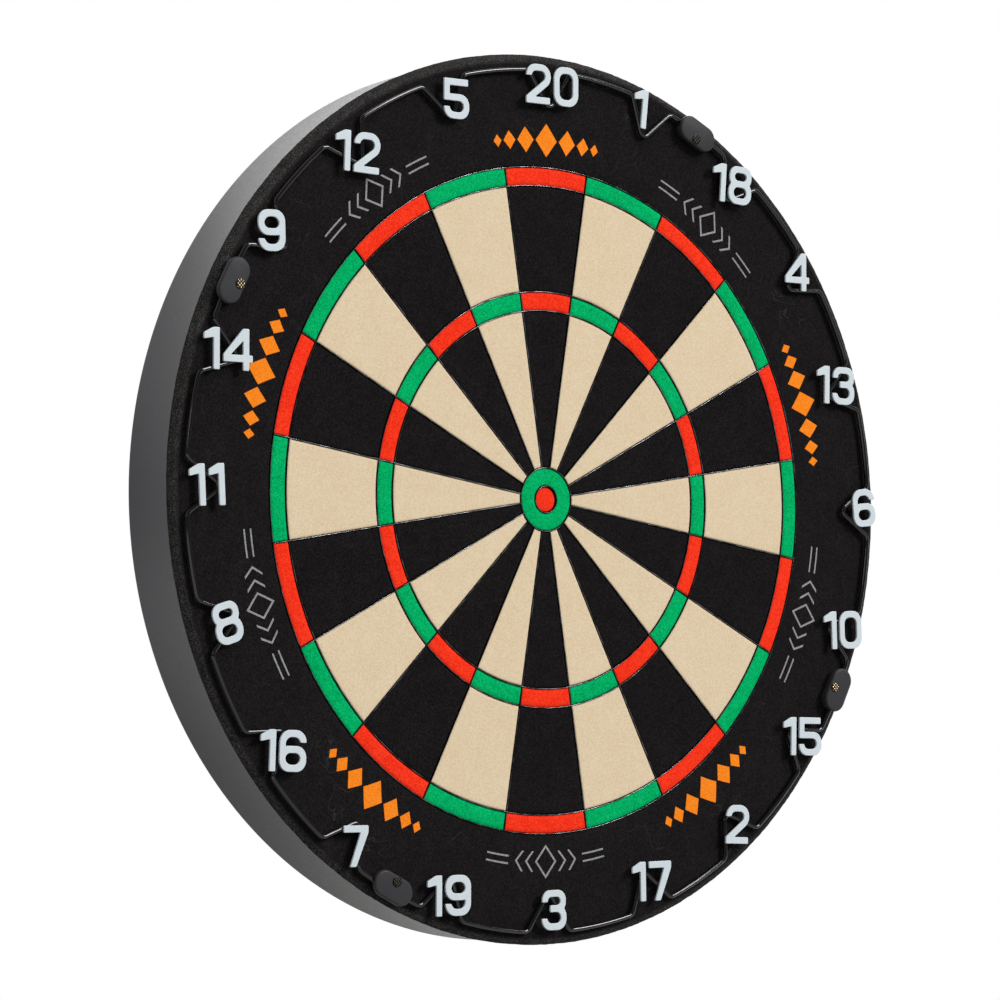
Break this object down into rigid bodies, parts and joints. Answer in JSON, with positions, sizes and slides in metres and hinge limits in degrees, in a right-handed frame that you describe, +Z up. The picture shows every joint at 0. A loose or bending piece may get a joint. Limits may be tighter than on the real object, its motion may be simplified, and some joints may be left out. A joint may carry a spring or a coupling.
{
  "type": "dartboard",
  "caption": "Wall-hung bristle dartboard: dyed pressed-fibre beds parted by thin steel blades in a steel band, with a lift-off wire number ring held by nailed clips.",
  "frame": {"origin": "on the bull's axis, at the outer face of the hanging screw's head", "axes": "+X right seen by the player, +Y into the wall, +Z up; the playing face looks along -Y"},
  "size_m": [0.4557, 0.0575, 0.4558],
  "materials": {
    "chipboard": "raw pressed chipboard",
    "fibre_natural": "undyed pressed sisal",
    "fibre_black": "black dyed sisal, cut and ground flat",
    "fibre_cream": "cream dyed sisal, cut and ground flat",
    "fibre_red": "red dyed sisal, cut and ground flat",
    "fibre_green": "green dyed sisal, cut and ground flat",
    "band_paint": "satin dark grey paint on rolled steel",
    "blade_black": "black coat on ground spring steel",
    "wire_black": "gloss black coat on bent steel wire",
    "numeral_white": "satin white paint on cut steel sheet",
    "clip_plastic": "moulded dark grey plastic",
    "clip_nail_metal": "bronzed nail with a knurled head",
    "zinc_steel": "zinc plated",
    "foot_rubber": "moulded black rubber"
  },
  "bodies": {
    "board": {"backing_board": "chipboard", "bristle_core": "fibre_natural", "border_bristle": "fibre_black", "cream_beds": "fibre_cream", "black_beds": "fibre_black", "red_beds": "fibre_red", "green_beds": "fibre_green", "outer_bull": "fibre_green", "inner_bull": "fibre_red", "steel_band": "band_paint", "hanging_screw": "zinc_steel", "wall_feet": "foot_rubber", "foot_nails": "zinc_steel", "double_outer_blade": "blade_black", "double_inner_blade": "blade_black", "treble_outer_blade": "blade_black", "treble_inner_blade": "blade_black", "bull_outer_blade": "blade_black", "bull_inner_blade": "blade_black", "radial_blades": "blade_black"},
    "number_ring": {"number_wire": "wire_black", "numeral_1": "numeral_white", "numeral_2": "numeral_white", "numeral_3": "numeral_white", "numeral_4": "numeral_white", "numeral_5": "numeral_white", "numeral_6": "numeral_white", "numeral_7": "numeral_white", "numeral_8": "numeral_white", "numeral_9": "numeral_white", "numeral_10": "numeral_white", "numeral_11": "numeral_white", "numeral_12": "numeral_white", "numeral_13": "numeral_white", "numeral_14": "numeral_white", "numeral_15": "numeral_white", "numeral_16": "numeral_white", "numeral_17": "numeral_white", "numeral_18": "numeral_white", "numeral_19": "numeral_white", "numeral_20": "numeral_white"},
    "clip_1": {"clip_cap_1": "clip_plastic"},
    "nail_1": {"clip_nail_1": "clip_nail_metal"},
    "clip_2": {"clip_cap_2": "clip_plastic"},
    "nail_2": {"clip_nail_2": "clip_nail_metal"},
    "clip_3": {"clip_cap_3": "clip_plastic"},
    "nail_3": {"clip_nail_3": "clip_nail_metal"},
    "clip_4": {"clip_cap_4": "clip_plastic"},
    "nail_4": {"clip_nail_4": "clip_nail_metal"}
  },
  "joints": [
    {"name": "number_ring_lift", "type": "slide", "parent": "board", "child": "number_ring", "axis": [0, -1, 0], "range_m": [0, 0.05]},
    {"name": "clip_1_lift", "type": "slide", "parent": "number_ring", "child": "clip_1", "axis": [0, -1, 0], "range_m": [0, 0.02]},
    {"name": "nail_1_pull", "type": "slide", "parent": "clip_1", "child": "nail_1", "axis": [0, -1, 0], "range_m": [0, 0.02]},
    {"name": "clip_2_lift", "type": "slide", "parent": "number_ring", "child": "clip_2", "axis": [0, -1, 0], "range_m": [0, 0.02]},
    {"name": "nail_2_pull", "type": "slide", "parent": "clip_2", "child": "nail_2", "axis": [0, -1, 0], "range_m": [0, 0.02]},
    {"name": "clip_3_lift", "type": "slide", "parent": "number_ring", "child": "clip_3", "axis": [0, -1, 0], "range_m": [0, 0.02]},
    {"name": "nail_3_pull", "type": "slide", "parent": "clip_3", "child": "nail_3", "axis": [0, -1, 0], "range_m": [0, 0.02]},
    {"name": "clip_4_lift", "type": "slide", "parent": "number_ring", "child": "clip_4", "axis": [0, -1, 0], "range_m": [0, 0.02]},
    {"name": "nail_4_pull", "type": "slide", "parent": "clip_4", "child": "nail_4", "axis": [0, -1, 0], "range_m": [0, 0.02]}
  ]
}
